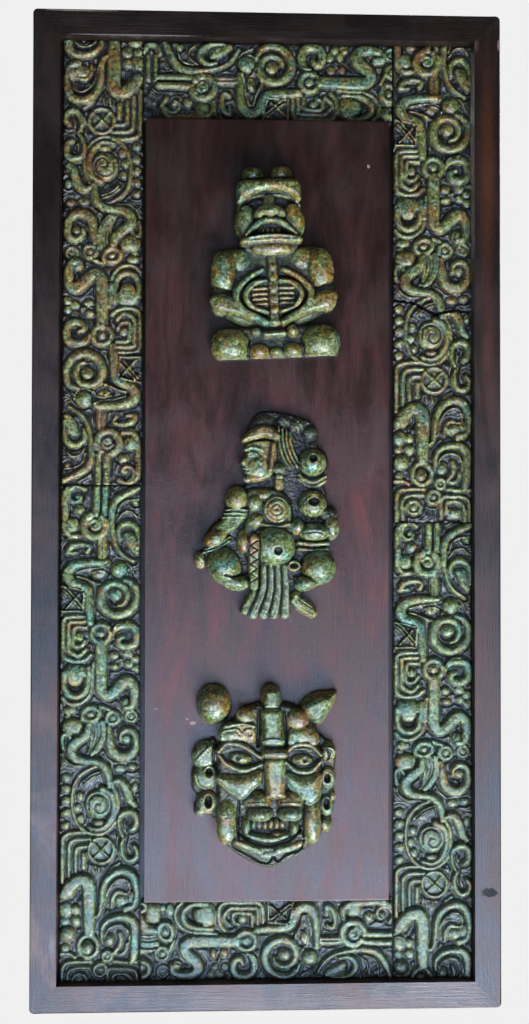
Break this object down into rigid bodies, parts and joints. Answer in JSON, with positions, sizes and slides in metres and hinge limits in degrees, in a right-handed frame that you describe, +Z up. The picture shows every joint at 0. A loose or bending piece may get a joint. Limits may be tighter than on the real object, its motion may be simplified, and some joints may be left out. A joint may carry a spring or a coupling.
{
  "type": "relief plaque",
  "caption": "Tall wall plaque: dark mitred frame around relief strips and a centre panel with a seated figure, a kneeling figure and a feline mask.",
  "frame": {"origin": "middle of the flat back, on the wall plane", "axes": "+Z up as it hangs, -Y out of the wall towards the viewer, +X to the viewer's right"},
  "size_m": [0.296, 0.0388, 0.629],
  "materials": {
    "frame_wood": "dark varnish, glossy",
    "panel_wood": "dark varnish, glossy",
    "backing": "unfinished dark board",
    "relief_casting": "mottled green, ochre and grey-brown, glossy",
    "figure_casting": "mottled green, yellow-ochre and dark brown, glossy"
  },
  "bodies": {
    "root": {"back_board": "backing", "centre_panel": "panel_wood", "top_rail": "frame_wood", "left_stile": "frame_wood", "bottom_rail": "frame_wood", "right_stile": "frame_wood", "left_lower_relief": "relief_casting", "left_upper_relief": "relief_casting", "right_upper_relief": "relief_casting", "right_lower_relief": "relief_casting", "top_relief": "relief_casting", "bottom_relief": "relief_casting", "seated_figure": "figure_casting", "kneeling_figure": "figure_casting", "feline_mask": "figure_casting"}
  },
  "joints": []
}
